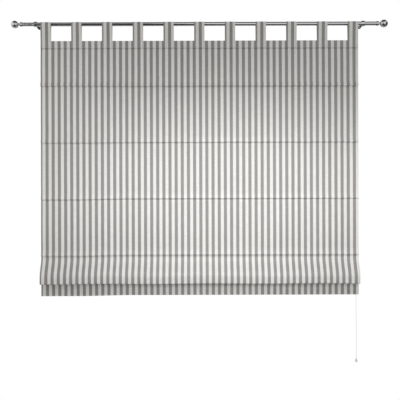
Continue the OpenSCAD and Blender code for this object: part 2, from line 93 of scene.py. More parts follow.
# Camera: straight on, a few metres back, level with the middle of the cloth
camera = {
    "back": 4.1,        # from the pole's axis, metres
    "side": 0.0010,
    "height": -0.8605,
    "lens": 75.5,       # mm
    "sensor": 36,       # mm
    "roll": 0.17,       # degrees, the photograph leans this much
}

axisY = nodeMiddle("pole")[1]
lensData = bpy.data.cameras.new("viewer")
lensData.lens = camera["lens"]
lensData.sensor_width = camera["sensor"]
viewer = addObject("viewer", lensData)
viewer.location = (camera["side"], axisY - camera["back"], camera["height"])
viewer.rotation_euler = (radians(90), radians(camera["roll"]), 0)
bpy.context.scene.camera = viewer
print("camera set")


# Shared mesh makers
sharpFrom = radians(50)  # faces that meet at more than this keep a sharp edge


def addPiece(name, points, faces, uv):
    # a smooth mesh of points (n, 3), faces as index lists, and uv, one pair of metres for each point
    mesh = bpy.data.meshes.new(name)
    mesh.from_pydata(points.tolist(), [], faces)
    layer = mesh.uv_layers.new(name="flatCut")
    corner = np.empty(len(mesh.loops), np.int32)
    mesh.loops.foreach_get("vertex_index", corner)
    layer.data.foreach_set("uv", uv[corner].astype(np.float32).ravel())
    mesh.polygons.foreach_set("use_smooth", np.ones(len(mesh.polygons), bool))
    mesh.set_sharp_from_angle(angle=sharpFrom)
    return addObject(name, mesh)


def addCloth(name, *parts):
    # several (points, faces, uv) as one piece: each part's faces count on from the points before it
    before = np.cumsum([0] + [len(part[0]) for part in parts[:-1]])
    points = np.concatenate([part[0] for part in parts])
    faces = np.concatenate([part[1] + start for part, start in zip(parts, before)])
    uv = np.concatenate([part[2] for part in parts])
    return addPiece(name, points, faces.tolist(), uv)


def clothShell(middle, uv, thickness, loop=False):
    # the middle surface (rows, columns, 3) moved half a thickness along its normals to both sides,
    # with a rim that joins the two sides; loop joins the last row to the first
    rows, columns = middle.shape[:2]
    count = rows * columns
    if loop:
        down = np.roll(middle, -1, 0) - np.roll(middle, 1, 0)
    else:
        down = np.gradient(middle, axis=0)
    normal = np.cross(down, np.gradient(middle, axis=1))
    normal /= np.linalg.norm(normal, axis=2, keepdims=True)
    half = normal * np.broadcast_to(thickness, (rows, columns))[..., None] / 2
    points = np.concatenate([(middle + half).reshape(-1, 3), (middle - half).reshape(-1, 3)])
    index = np.arange(count).reshape(rows, columns)
    if loop:
        index = np.vstack([index, index[:1]])
    a, b, c, d = index[:-1, :-1], index[1:, :-1], index[1:, 1:], index[:-1, 1:]
    front = np.stack([a, b, c, d], -1).reshape(-1, 4)
    back = front[:, ::-1] + count
    if loop:
        start = np.concatenate([index[:-1, -1], index[1:, 0]])
        end = np.concatenate([index[1:, -1], index[:-1, 0]])
    else:
        start = np.concatenate([index[0, :-1], index[:-1, -1], index[-1, :0:-1], index[:0:-1, 0]])
        end = np.roll(start, -1)
    rim = np.stack([start, end, end + count, start + count], -1)
    return points, np.concatenate([front, back, rim]), np.tile(uv.reshape(-1, 2), (2, 1))


def lengthRun(path):  # the length run at each point of a path: the sum of the steps before it
    return np.concatenate([[0], np.cumsum(np.linalg.norm(np.diff(path, axis=0), axis=1))])


def evenPath(corners, count):  # a polyline read off at even steps of the length run
    run = lengthRun(corners)
    steps = np.linspace(0, run[-1], count)
    return np.stack([np.interp(steps, run, column) for column in corners.T], 1), steps


def inPlane(x, z, y):  # points of a path at one depth y
    x, z = np.broadcast_arrays(x, z)
    return np.stack([x, np.full(x.shape, y), z], 1)


def roundTube(path, radius, sides):
    # circles of the radius about a path that lies in a plane of constant y, closed at both ends
    ahead = np.gradient(path, axis=0)
    ahead /= np.linalg.norm(ahead, axis=1, keepdims=True)
    across = np.array([0.0, 1.0, 0.0])
    beside = np.cross(ahead, across)
    turn = np.linspace(0, 2 * pi, sides, endpoint=False)
    reach = np.broadcast_to(radius, len(path))[:, None, None]
    rings = path[:, None] + reach * (np.cos(turn)[None, :, None] * across
                                     + np.sin(turn)[None, :, None] * beside[:, None])
    index = np.arange(len(path) * sides).reshape(-1, sides)
    nextOne = np.roll(index, -1, 1)
    walls = np.stack([index[:-1], nextOne[:-1], nextOne[1:], index[1:]], -1).reshape(-1, 4)
    u, v = np.meshgrid(np.minimum(turn, 2 * pi - turn) / pi, lengthRun(path))
    faces = walls.tolist() + [index[0, ::-1].tolist(), index[-1].tolist()]
    return rings.reshape(-1, 3), faces, np.stack([u, v], -1).reshape(-1, 2)


def alongX(profile, run, x):
    # a (y, z) profile carried along x; uv is the flat cut: x across, run down
    middle = np.empty((len(profile), len(x), 3))
    middle[..., 0] = x
    middle[..., 1:] = profile[:, None]
    return middle, np.stack(np.meshgrid(x, run), -1)


def eased(value, start, end):  # the share of the way from start to end, smooth at both: 3 s^2 - 2 s^3
    share = np.clip((value - start) / (end - start), 0, 1)
    return share ** 2 * (3 - 2 * share)


def ripple(x, length, start=0.0):  # a wave of height 1 along x: the sine of 2 pi x / length + start
    return np.sin(2 * pi * x / length + start)


# Pull cord: hangs straight down from the joiner to the acorn, where its knot sits
pull = {
    "diameter": 0.002,
    "knot": 0.004,
    "knotTip": 0.0002,  # radius left at the two ends of the knot
    "steps": 33,
    "sides": 12,
}
knotTurn = np.linspace(0, pi, 9)  # from one end of a knot to the other

cordLow, cordHigh = nodeSpan("pull_cord")
pullX, pullY = nodeMiddle("pull_cord")[:2]
pullTop = cordHigh[2]
pullEnd = cordLow[2] + pull["knot"]
pullPath = inPlane(pullX, np.linspace(pullTop, pullEnd, pull["steps"]), pullY)
pullCord = addPiece("pullCord", *roundTube(pullPath, pull["diameter"] / 2, pull["sides"]))
knotPath = inPlane(pullX, pullEnd - pull["knot"] / 2 * (1 - np.cos(knotTurn)), pullY)
knotRadius = pull["knot"] / 2 * np.sin(knotTurn) + pull["knotTip"]
pullKnot = addPiece("pullKnot", *roundTube(knotPath, knotRadius, pull["sides"]))
for piece in (pullCord, pullKnot):
    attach(piece, "pull")
    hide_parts("pull_cord")
    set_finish(piece, "braided_cord")
print("pull cord made")


# Lift cords: along the header, down through the rings, and from the lock to the joiner
lift = {
    "diameter": 0.0014,
    "eyeBend": 0.003,
    "pulleyWrap": 0.0068,
    "knot": 0.0036,
    "tuck": 0.006,      # a cord's end inside the joiner
    "headerSteps": 60, "dropSteps": 80, "endSteps": 5, "tailSteps": 30,
    "sides": 8,
}

liftRadius = lift["diameter"] / 2
pulleyX, pulleyZ = nodeMiddle("lock_pulley")[::2]
leadZ = pulleyZ + lift["pulleyWrap"]
tailZ = nodeSpan("cord_joiner")[1][2] - lift["tuck"]
ringZ = [nodeMiddle(f"rings_{k}")[2] for k in range(1, 6)]
quarter = np.linspace(0, pi / 2, 9)

for k in range(1, 5):
    cordNode = f"lift_cord_{k}"
    cordY = nodeMiddle(cordNode)[1]
    dropX = nodeSpan(cordNode)[0][0] + lift["knot"] / 2
    eyeX, eyeZ = dropX + lift["eyeBend"], leadZ - lift["eyeBend"]
    header = np.concatenate([
        inPlane(pulleyX + lift["pulleyWrap"] * np.cos(quarter),
                pulleyZ + lift["pulleyWrap"] * np.sin(quarter), cordY),
        inPlane(np.linspace(pulleyX, eyeX, lift["headerSteps"])[1:-1], leadZ, cordY),
        inPlane(eyeX - lift["eyeBend"] * np.sin(quarter),
                eyeZ + lift["eyeBend"] * np.cos(quarter), cordY),
    ])
    drop = inPlane(dropX, np.linspace(eyeZ, ringZ[3], lift["dropSteps"]), cordY)
    knotZ = ringZ[4] + lift["knot"] / 2 * np.cos(knotTurn)
    endZ = np.concatenate([np.linspace(ringZ[3], knotZ[0], lift["endSteps"] + 1)[:-1], knotZ])
    end = inPlane(dropX, endZ, cordY)
    endRadius = np.concatenate([np.full(lift["endSteps"], liftRadius),
                                np.maximum(lift["knot"] / 2 * np.sin(knotTurn), liftRadius)])
    tail = inPlane(pullX, np.linspace(pulleyZ, tailZ, lift["tailSteps"]), cordY)
    runs = (("Header", header, liftRadius), ("Drop", drop, liftRadius),
            ("End", end, endRadius), ("Tail", tail, liftRadius))
    headerRun, dropRun, endRun, tailRun = [
        addPiece(f"liftCord{run}{k}", *roundTube(path, radius, lift["sides"])) for run, path, radius in runs]
    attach(headerRun, "frame")
    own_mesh(dropRun)
    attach(dropRun, "frame")
    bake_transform(endRun)
    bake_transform(tailRun)
    for piece in (headerRun, dropRun, endRun, tailRun):
        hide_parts(cordNode)
        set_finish(piece, "braided_cord")
print("lift cords made")


# Cloth: one cut of striped cotton, made as the runs of it that move differently
cloth = {
    "thickness": 0.0012,
    "layerGap": 0.0002,         # cloth beside the batten and the weight bar
    "stripe": 0.030,            # a dark and a light stripe together
    "firstStripe": 0.0225,      # from the left side to where a dark stripe begins
    "rodBelowSeam": 0.003,
    "seamDepth": 0.0030,        # how far a rod seam pulls the face in
    "headerSeamDepth": 0.0031,
    "seamWidth": 0.0020,
    "roll": (0.0090, 0.0045, 0.0045, 0.0045),  # how far the end of each bay rolls out over its seam
    "rollHeight": 0.0060,
    "rollHang": 0.0025,         # how far the roll hangs below the stitching
    "belly": 0.0014,            # how far a bay hangs forward between its seams
    "bellyLow": 1.15,           # above 1, the belly lies below the middle of its bay
    "pucker": 0.0006,
    "puckerPitch": 0.052,
    "puckerStray": (1.7, 0.37),  # radians by which the pitch strays, and over what length
    "puckerShift": 2.1,         # radians from one bay to the next
    "puckerFade": 0.022,
    "sway": 0.0007,
    "swayWaves": ((0.63, 1.1, 0.0), (0.29, -0.8, 1.3)),  # length across, length down, start
    "leftSag": (0, -0.0016, 0.0014, 0.0039, 0.0044),  # how low the left end is, at the header and seams
    "sagSpan": (-0.33, -0.60),  # where that begins and where it is full
    "sideHem": 0.025,
    "columns": 140,
    "hemColumns": 6,
    "bayRows": 38,
}

thick = cloth["thickness"]
battenFront, battenUnder = nodeSpan("header_batten")[0][1:]
clothLow, clothHigh = nodeSpan("blind_cloth")
halfWidth = clothHigh[0]
headerTop, skirtEnd = clothHigh[2], clothLow[2]
panelY = battenFront - cloth["layerGap"] - thick / 2
headerSeam = battenUnder - cloth["layerGap"] - thick
rodAt = [nodeMiddle(f"rod_{k}") for k in range(1, 6)]
seamAt = [at[2] + cloth["rodBelowSeam"] for at in rodAt]
seamLines = np.array([headerSeam] + seamAt[:4])  # the panel's top and its four seams
clothX = np.linspace(-halfWidth, halfWidth, cloth["columns"])


def faceDepth(x, z):
    # y of the panel's middle surface: a pinch at each seam, a soft roll above it, a belly between
    # seams, puckers that fade away from the stitching, and two slow waves across the whole width
    edges = seamLines - cloth["rollHang"]
    depth = np.array([cloth["headerSeamDepth"]] + [cloth["seamDepth"]] * 4)
    bay = np.clip(np.searchsorted(-edges, -z, side="right") - 1, 0, 3)
    share = np.clip((edges[bay] - z) / (edges[bay] - edges[bay + 1]), 0, 1)
    away = z[..., None] - edges
    pinch = (depth * np.exp(-(away / cloth["seamWidth"]) ** 2)).sum(-1)
    hang = np.sin(pi * share ** cloth["bellyLow"])
    above = np.maximum(z - edges[bay + 1], 0) / cloth["rollHeight"]
    roll = np.array(cloth["roll"])[bay] * above * np.exp(1 - above)
    fade = np.exp(-np.abs(away).min(-1) / cloth["puckerFade"])
    stray, strayLength = cloth["puckerStray"]
    pucker = np.sin(2 * pi * x / cloth["puckerPitch"] + stray * ripple(x, strayLength)
                    + cloth["puckerShift"] * bay) * fade
    sway = sum(np.sin(2 * pi * (x / across + z / down) + start) for across, down, start in cloth["swayWaves"])
    return (panelY + pinch - roll - cloth["belly"] * hang
            + cloth["pucker"] * pucker + cloth["sway"] * sway * hang)


# stitching: matching thread, half sunk in the cloth; real thread is 0.3 mm, drawn thicker to show
stitch = {
    "pitch": 0.0042,
    "length": 0.0032,
    "width": 0.0009,
    "height": 0.8,      # for each unit of width
    "column": 2,        # the side rows lie on this column, counted from the edge
}
threadX = cloth["stripe"] / 2 - halfWidth + cloth["firstStripe"]  # a stripe's edge, between its colours
sideColumns = (stitch["column"], -1 - stitch["column"])


def stitchRow(line, beside):
    # four-sided bars of thread end to end along a line on the cloth, on the side to which
    # ahead x beside points
    centre, run = evenPath(line, max(int(lengthRun(line)[-1] / stitch["pitch"]), 2))
    ahead = np.gradient(centre, axis=0)
    ahead /= np.linalg.norm(ahead, axis=1, keepdims=True)
    out = np.cross(ahead, beside)
    out /= np.linalg.norm(out, axis=1, keepdims=True)
    side = np.cross(out, ahead)
    rise = out * stitch["height"]
    section = np.stack([side, rise, -side, -rise], 1) * stitch["width"] / 2
    reach = ahead[:, None] * stitch["length"] / 2
    middle = (centre + out * thick / 2)[:, None]
    points = np.concatenate([middle + section - reach, middle + section + reach], 1)
    bar = np.array([[0, 1, 5, 4], [1, 2, 6, 5], [2, 3, 7, 6], [3, 0, 4, 7], [3, 2, 1, 0], [4, 5, 6, 7]])
    faces = (bar + 8 * np.arange(len(centre))[:, None, None]).reshape(-1, 4)
    uv = np.stack([np.full(len(centre), threadX), run], 1).repeat(8, 0)
    return points.reshape(-1, 3), faces, uv


def leftSag(x, z):
    # how far down a point of the cloth hangs: eased in along x, and read off between the seams along z
    return eased(x, *cloth["sagSpan"]) * np.interp(-z, -seamLines, cloth["leftSag"])


def onPanel(x, z, behind=0.0):  # points of the panel's middle surface: faceDepth, moved back and let down
    return np.stack([x, faceDepth(x, z) + behind, z - leftSag(x, z)], -1)


def panelSheet(x, z, behind=0.0):  # a shell over the grid of x and z, cut flat as x across and z down
    x, z = np.meshgrid(x, z)
    return clothShell(onPanel(x, z, behind), np.stack([x, headerSeam - z], -1), thick)


# upper panel: bays whose rows crowd towards the seams, with a turned hem at each side
crowd = (1 - np.cos(np.linspace(0, pi, cloth["bayRows"]))) / 2
bayRows = [top + (low - top) * crowd[:-1] for top, low in zip(seamLines[:-1], seamLines[1:])]
panelZ = np.concatenate(bayRows + [seamLines[-1:]])
hemX = np.linspace(halfWidth - cloth["sideHem"], halfWidth, cloth["hemColumns"])
stitchX = clothX[stitch["column"]]
sideLines = [onPanel(np.full(len(panelZ), at), panelZ) for at in (stitchX, -stitchX)]
upperPanel = addCloth(
    "upperPanel", panelSheet(clothX, panelZ),
    panelSheet(hemX, panelZ, thick), panelSheet(-hemX[::-1], panelZ, thick),
    *[stitchRow(line, (1, 0, 0)) for line in sideLines])
panelDrop = headerSeam - seamAt[3]
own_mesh(upperPanel)
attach(upperPanel, "frame")
print("upper panel made")


# header band: up the front of the batten, over it, and down the back to its seam
band = {
    "bend": 0.0024,     # how far from a corner its curve begins
    "stitchUp": 0.003,
    "rows": 60,
}


def softCorners(corners, radius, steps=7):
    # each inner corner becomes a quadratic curve, from radius before it to radius after it
    t = np.linspace(0, 1, steps)[:, None]
    curves = [corners[:1]]
    for before, at, after in zip(corners[:-2], corners[1:-1], corners[2:]):
        near = at + (before - at) / np.linalg.norm(before - at) * radius
        far = at + (after - at) / np.linalg.norm(after - at) * radius
        curves.append(near * (1 - t) ** 2 + at * 2 * t * (1 - t) + far * t ** 2)
    return np.concatenate(curves + [corners[-1:]])


def wrap(start, end, back, turned, bend, rows):
    # an even (y, z) path on the panel's face from start to end, under or over to back, along it to
    # turned and home to the inside of the face, with soft corners
    corners = np.array([[panelY, start], [panelY, end], [back, end], [back, turned], [panelY + thick, turned]])
    return evenPath(softCorners(corners, bend), rows)


bandPath, bandRun = wrap(headerSeam, headerTop - thick / 2, 2 * axisY - panelY, headerSeam + thick / 2,
                         band["bend"], band["rows"])
bandMiddle, bandUv = alongX(bandPath, -bandRun, clothX)
headerStitch = bandMiddle[np.abs(bandRun - band["stitchUp"]).argmin()]
headerBand = addCloth("headerBand", clothShell(bandMiddle, bandUv, thick), stitchRow(headerStitch, (0, 0, 1)))
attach(headerBand, "frame")
print("header band made")


# gathered pleat: a slack drop shape, out and down the front, round the lower bend and up behind
# to the lowest rod
pleat = {
    "bend": 0.005,
    "slack": 0.17,          # cloth taken up by the slope, for each unit that the pleat stands out
    "swell": (0.06, 0.80),  # the shares of its drop between which the front moves out
    "unevenOut": 0.0016,
    "outWaves": ((1.0, 0.71, 0.6), (0.6, 0.33, 2.2)),  # height, length and start of each
    "unevenDrop": 0.0010,
    "dropWave": (0.52, 1.1),
    "rows": 34,
    "frontBendRows": 16, "backBendRows": 14,
}

foldOut = panelY - thick / 2 - clothLow[1]
bayCloth, lag = seamAt[2] - seamAt[3], seamAt[3] - seamAt[4]
foldDrop = (bayCloth + lag - pi * pleat["bend"]) / 2 - pleat["slack"] * foldOut
bendY, bendZ = panelY - foldOut + pleat["bend"], seamAt[3] - foldDrop
lastRod = np.array([panelY - thick, seamAt[4]])


def onBend(angle):  # points of the lower bend, a half circle from its front at 0 by its bottom to its back
    return np.stack([bendY - pleat["bend"] * np.cos(angle), bendZ - pleat["bend"] * np.sin(angle)], -1)


share = np.linspace(0, 1, pleat["rows"])
backLean = np.arctan2(lastRod[0] - bendY - pleat["bend"], lastRod[1] - bendZ)
backFrom = onBend(np.array(pi - backLean))
frontRun = np.concatenate([
    np.stack([panelY - foldOut * eased(share, *pleat["swell"]), seamAt[3] - foldDrop * share], 1),
    onBend(np.linspace(0, pi / 2, pleat["frontBendRows"]))[1:]])
backRun = np.concatenate([
    onBend(np.linspace(pi / 2, pi - backLean, pleat["backBendRows"]))[:-1],
    backFrom + (lastRod - backFrom) * share[:, None]])


def pleatSheet(profile, runBefore):
    # the profile carried along x; it stands out and hangs a little unevenly, more so towards its bend,
    # and meets the panel at the seam
    run = runBefore + lengthRun(profile)
    middle, uv = alongX(profile, run, clothX)
    share = np.clip((panelY - middle[..., 1]) / foldOut, 0, 1)
    wave = sum(height * ripple(clothX, length, start) for height, length, start in pleat["outWaves"])
    middle[..., 1] += pleat["unevenOut"] * wave * share
    middle[..., 2] += pleat["unevenDrop"] * ripple(clothX, *pleat["dropWave"]) * share
    seam = np.exp(-np.abs(middle[..., 2] - seamAt[3]) / cloth["seamWidth"]) * (1 - share)
    middle[..., 1] += (faceDepth(middle[..., 0], np.full(middle.shape[:2], seamAt[3])) - panelY) * seam
    middle[..., 2] -= leftSag(clothX, seamAt[3]) * (1 - share)
    return middle, uv, run[-1]


frontMiddle, frontUv, frontEnd = pleatSheet(frontRun, panelDrop)
backMiddle, backUv, backEnd = pleatSheet(backRun, frontEnd)
pleatFront = addCloth("pleatFront", clothShell(frontMiddle, frontUv, thick),
                      *[stitchRow(frontMiddle[:, column], (1, 0, 0)) for column in sideColumns])
pleatBack = addCloth("pleatBack", clothShell(backMiddle, backUv, thick))
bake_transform(pleatFront)
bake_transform(pleatBack)
print("gathered pleat made")


# skirt: from the lowest rod down to a pocket round the weight bar
hem = {
    "height": 0.035,
    "bend": 0.0021,
    "stitchPull": 0.0007, "pullWidth": 0.002,   # how the hem's stitching draws the cloth back
    "swing": 0.0006, "swingWave": (0.67, 0.9),  # a slow wave, of this length and start,
    "swingFull": 0.1,                           # which is full this far below the rod
    "rows": 90,
}

hemBack = nodeSpan("bottom_bar")[1][1] + cloth["layerGap"] + thick / 2
hemTop = skirtEnd + hem["height"]
skirtPath, skirtRun = wrap(seamAt[4], skirtEnd + thick / 2, hemBack, hemTop - thick / 2,
                           hem["bend"], hem["rows"])
skirtMiddle, skirtUv = alongX(skirtPath, backEnd + skirtRun, clothX)
skirtZ = skirtPath[:, 1:]
stitchPull = hem["stitchPull"] * np.exp(-((skirtZ - hemTop) / hem["pullWidth"]) ** 2)
swing = hem["swing"] * ripple(clothX, *hem["swingWave"])
skirtMiddle[..., 1] += stitchPull + swing * np.clip((seamAt[4] - skirtZ) / hem["swingFull"], 0, 1)
skirtMiddle[..., 2] -= leftSag(clothX, seamAt[4])
hemRow = np.abs(skirtZ[:hem["rows"] // 2, 0] - hemTop).argmin()
skirt = addCloth("skirt", clothShell(skirtMiddle, skirtUv, thick), stitchRow(skirtMiddle[hemRow], (0, 0, 1)),
                 *[stitchRow(skirtMiddle[:hemRow, column], (1, 0, 0)) for column in sideColumns])
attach(skirt, "skirt")
print("skirt made")


# rod pockets: a drop-shaped tube behind each seam
pocket = {
    "inner": 0.0028,
    "peak": 0.0008,     # how far the drop's peak stands out, where it is sewn to the face
    "peakAt": 0.8,      # half turns from the back
    "peakPower": 6,
    "around": 28,
    "columns": 60,
}

angle = np.linspace(0, 2 * pi, pocket["around"], endpoint=False)
peak = np.maximum(np.cos(angle - pi * pocket["peakAt"]), 0) ** pocket["peakPower"]
pocketRadius = pocket["inner"] + thick / 2 + pocket["peak"] * peak
pocketX = np.linspace(-halfWidth, halfWidth, pocket["columns"])
rodBodies = ["rod_row_1", "rod_row_2", "rod_row_3", "rod_row_4", "skirt"]
pockets = []
for k, (at, body) in enumerate(zip(rodAt, rodBodies), 1):
    section = np.stack([at[1] + pocketRadius * np.cos(angle), at[2] + pocketRadius * np.sin(angle)], 1)
    tube, tubeUv = alongX(section, angle * pocket["inner"], pocketX)
    sleeve = addCloth(f"rodPocket{k}", clothShell(tube, tubeUv, thick, loop=True))
    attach(sleeve, body)
    pockets.append(sleeve)
for piece in [headerBand, upperPanel, pleatFront, pleatBack, skirt] + pockets:
    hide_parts("blind_cloth")
    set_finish(piece, "striped_cloth")
print("rod pockets made")


# tabs: up the front of the header, over the pole and down its back, sewn at both ends
tab = {
    "gap": 0.0001,      # between a tab and the header
    "edgeThin": 0.7,    # share of the thickness lost at the side edges
    "edgePower": 10,    # how suddenly that comes
    "stitchColumn": 1,
    "stitchRow": 2,
    "overPole": 40,     # steps
    "rows": 110,
    "columns": 15,
}

legY = panelY - thick - tab["gap"] - axisY
legReach = np.hypot(legY, headerTop)
fromMiddle = np.linspace(-1, 1, tab["columns"])
tabThick = thick * (1 - tab["edgeThin"] * np.abs(fromMiddle) ** tab["edgePower"])
tabColumns = (tab["stitchColumn"], -1 - tab["stitchColumn"])
for k in range(1, 12):
    tabNode = f"tab_{k}"
    low, high = nodeSpan(tabNode)
    loop = high[2] - thick / 2  # the legs leave this circle round the pole at the tangents from the header
    touch = np.arctan2(headerTop, -legY) + np.arccos(loop / legReach)
    turn = np.linspace(pi - touch, touch, tab["overPole"])
    corners = np.concatenate([
        [[legY, low[2]], [legY, headerTop]],
        np.stack([loop * np.cos(turn), loop * np.sin(turn)], 1),
        [[-legY, headerTop], [-legY, low[2]]]]) + [axisY, 0]
    tabPath, tabRun = evenPath(corners, tab["rows"])
    middle, uv = alongX(tabPath, -tabRun, np.linspace(low[0], high[0], tab["columns"]))
    strap = addCloth(
        f"tabLoop{k}", clothShell(middle, uv, tabThick),
        *[stitchRow(middle[:, column], (-1, 0, 0)) for column in tabColumns],
        stitchRow(middle[tab["stitchRow"]], (0, 0, 1)),
        stitchRow(middle[-1 - tab["stitchRow"]], (0, 0, -1)))
    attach(strap, "frame")
    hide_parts(tabNode)
    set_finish(strap, "striped_cloth")
print("tabs made")


# Materials
def hexColour(code):  # sRGB hex to linear: c / 12.92 for the darkest, else ((c + 0.055) / 1.055) ^ 2.4
    c = np.array([int(code[k:k + 2], 16) for k in (1, 3, 5)]) / 255
    return (*np.where(c <= 0.04045, c / 12.92, ((c + 0.055) / 1.055) ** 2.4), 1.0)


def setInputs(tree, node, inputs):  # an input takes a value or another node's output
    for name, value in inputs.items():
        if isinstance(value, bpy.types.NodeSocket):
            tree.links.new(value, node.inputs[name])
        else:
            node.inputs[name].default_value = value


def addNode(tree, kind, inputs=None, **settings):  # one node with its settings, values and links
    node = tree.nodes.new("ShaderNode" + kind)
    for name, value in settings.items():
        setattr(node, name, value)
    setInputs(tree, node, inputs or {})
    return node


def newMaterial(name, constants):  # a principled shader with what is the same all over the surface
    material = bpy.data.materials.new(name)
    material.use_nodes = True
    shader = material.node_tree.nodes["Principled BSDF"]
    setInputs(material.node_tree, shader, constants)
    return material, material.node_tree, shader


def waveScale(pitch):  # scale of a band texture whose bands repeat every pitch metres: 2 pi / (20 pitch)
    return 2 * pi / (20 * pitch)


finish = {}

# Plain-woven cotton, yarn-dyed in stripes along the warp: matt, with slubs in both threads.
# The stripes are 15 mm of each colour. Real threads lie 0.5 mm apart; they are drawn 1.5 mm apart to show.
weave = {
    "light": "#DEDDD7", "dark": "#888687",
    "thread": 0.0015,
    "slubLong": 0.045, "slubShort": 0.0022,
    "fray": 0.003,          # size of the unevenness along a stripe's edge
    "frayReach": 0.03,      # how far it moves the edge, as a share of two stripes
    "edgeBlur": 0.015,      # half the width of the edge, as a share of two stripes
    "slubTone": (0.90, 1.06),
    "threadTone": (0.91, 1.05),
    "slubRelief": 0.5,      # slubs against threads
    "bump": 0.5, "relief": 0.0003,
}
finish["striped_cloth"], tree, shader = newMaterial("wovenStripedCotton", {
    "Roughness": 0.34, "Sheen Weight": 0.08, "Sheen Roughness": 0.6, "Specular IOR Level": 0.6})
flat = addNode(tree, "UVMap", uv_map="flatCut").outputs["UV"]
apart = addNode(tree, "SeparateXYZ", {"Vector": flat})
fray = addNode(tree, "TexNoise", {"Vector": flat, "Scale": 1 / weave["fray"], "Detail": 2.0})
wander = addNode(tree, "Math", {
    0: fray.outputs["Fac"], 1: weave["frayReach"], 2: -weave["frayReach"] / 2}, operation="MULTIPLY_ADD")
phase = addNode(tree, "Math", {
    0: apart.outputs["X"], 1: 1 / cloth["stripe"],
    2: (halfWidth - cloth["firstStripe"]) / cloth["stripe"] - 0.25}, operation="MULTIPLY_ADD")
moved = addNode(tree, "Math", {0: phase.outputs[0], 1: wander.outputs[0]}, operation="ADD")
fromDark = addNode(tree, "Math", {0: moved.outputs[0], 1: 0.5}, operation="PINGPONG")
isLight = addNode(tree, "MapRange", {
    "Value": fromDark.outputs[0],
    "From Min": 0.25 - weave["edgeBlur"], "From Max": 0.25 + weave["edgeBlur"]})
bands = {"Vector": flat, "Scale": waveScale(weave["thread"])}
warp = addNode(tree, "TexWave", bands, bands_direction="X")
weft = addNode(tree, "TexWave", bands, bands_direction="Y")
under = addNode(tree, "Math", {0: 1.0, 1: weft.outputs["Fac"]}, operation="SUBTRACT")
over = addNode(tree, "Mix", {0: warp.outputs["Fac"], 2: under.outputs[0], 3: weft.outputs["Fac"]})
short, long = 1 / weave["slubShort"], 1 / weave["slubLong"]
warpMap = addNode(tree, "Mapping", {"Vector": flat, "Scale": (short, long, 1)})
warpSlub = addNode(tree, "TexNoise", {"Vector": warpMap.outputs[0], "Scale": 1.0, "Detail": 2.0})
weftMap = addNode(tree, "Mapping", {"Vector": flat, "Scale": (long, short, 1)})
weftSlub = addNode(tree, "TexNoise", {"Vector": weftMap.outputs[0], "Scale": 1.0, "Detail": 2.0})
slub = addNode(tree, "Math", {0: warpSlub.outputs["Fac"], 1: weftSlub.outputs["Fac"]}, operation="ADD")
shade = addNode(tree, "MapRange", {
    "Value": slub.outputs[0], "From Min": 0.7, "From Max": 1.3,
    "To Min": weave["slubTone"][0], "To Max": weave["slubTone"][1]})
thread = addNode(tree, "MapRange", {
    "Value": over.outputs[0], "To Min": weave["threadTone"][0], "To Max": weave["threadTone"][1]})
tone = addNode(tree, "Math", {0: shade.outputs[0], 1: thread.outputs[0]}, operation="MULTIPLY")
dyed = addNode(tree, "Mix", {
    0: isLight.outputs[0], 6: hexColour(weave["dark"]), 7: hexColour(weave["light"])}, data_type="RGBA")
toned = addNode(tree, "Mix", {
    0: 1.0, 6: dyed.outputs[2], 7: tone.outputs[0]}, data_type="RGBA", blend_type="MULTIPLY")
relief = addNode(tree, "Math", {
    0: slub.outputs[0], 1: weave["slubRelief"], 2: over.outputs[0]}, operation="MULTIPLY_ADD")
bump = addNode(tree, "Bump", {
    "Height": relief.outputs[0], "Strength": weave["bump"], "Distance": weave["relief"]})
setInputs(tree, shader, {"Base Color": toned.outputs[2], "Normal": bump.outputs[0]})

# Polished chrome on steel tube: mirror-like, with small smudges and faint polishing lines round the tube.
# Real lines are under 0.1 mm apart; they are drawn 1.2 mm apart to show.
chrome = {
    "colour": "#C8C9CB",
    "smudge": 0.030, "roughness": (0.06, 0.14),
    "line": 0.0012, "lineLength": 0.05,
    "bump": 0.05, "relief": 0.0001,
}
finish["polished_steel"], tree, shader = newMaterial("polishedChrome", {
    "Metallic": 1.0, "Base Color": hexColour(chrome["colour"])})
place = addNode(tree, "TexCoord").outputs["Object"]
smudge = addNode(tree, "TexNoise", {"Vector": place, "Scale": 1 / chrome["smudge"], "Detail": 3.0})
lineMap = addNode(tree, "Mapping", {
    "Vector": place, "Scale": (1 / chrome["line"], 1 / chrome["lineLength"], 1 / chrome["lineLength"])})
line = addNode(tree, "TexNoise", {"Vector": lineMap.outputs[0], "Scale": 1.0, "Detail": 1.0})
gloss = addNode(tree, "MapRange", {
    "Value": smudge.outputs["Fac"], "From Min": 0.3, "From Max": 0.7,
    "To Min": chrome["roughness"][0], "To Max": chrome["roughness"][1]})
bump = addNode(tree, "Bump", {
    "Height": line.outputs["Fac"], "Strength": chrome["bump"], "Distance": chrome["relief"]})
setInputs(tree, shader, {"Roughness": gloss.outputs[0], "Normal": bump.outputs[0]})

# Zinc-plated steel: satin, a slightly blue grey in soft clouds, with a fine grain.
# The real grain is about 0.1 mm; it is drawn at 1.6 mm to show.
zinc = {
    "dark": "#9A9DA2", "light": "#B6B8BB",
    "cloud": 0.012, "roughness": (0.25, 0.45),
    "grain": 0.0016, "bump": 0.15, "relief": 0.0001,
}
finish["plain_steel"], tree, shader = newMaterial("zincPlatedSteel", {"Metallic": 1.0})
place = addNode(tree, "TexCoord").outputs["Object"]
cloud = addNode(tree, "TexNoise", {"Vector": place, "Scale": 1 / zinc["cloud"], "Detail": 4.0})
grain = addNode(tree, "TexNoise", {"Vector": place, "Scale": 1 / zinc["grain"], "Detail": 2.0})
gloss = addNode(tree, "MapRange", {
    "Value": cloud.outputs["Fac"], "To Min": zinc["roughness"][0], "To Max": zinc["roughness"][1]})
tint = addNode(tree, "Mix", {
    0: cloud.outputs["Fac"], 6: hexColour(zinc["dark"]), 7: hexColour(zinc["light"])}, data_type="RGBA")
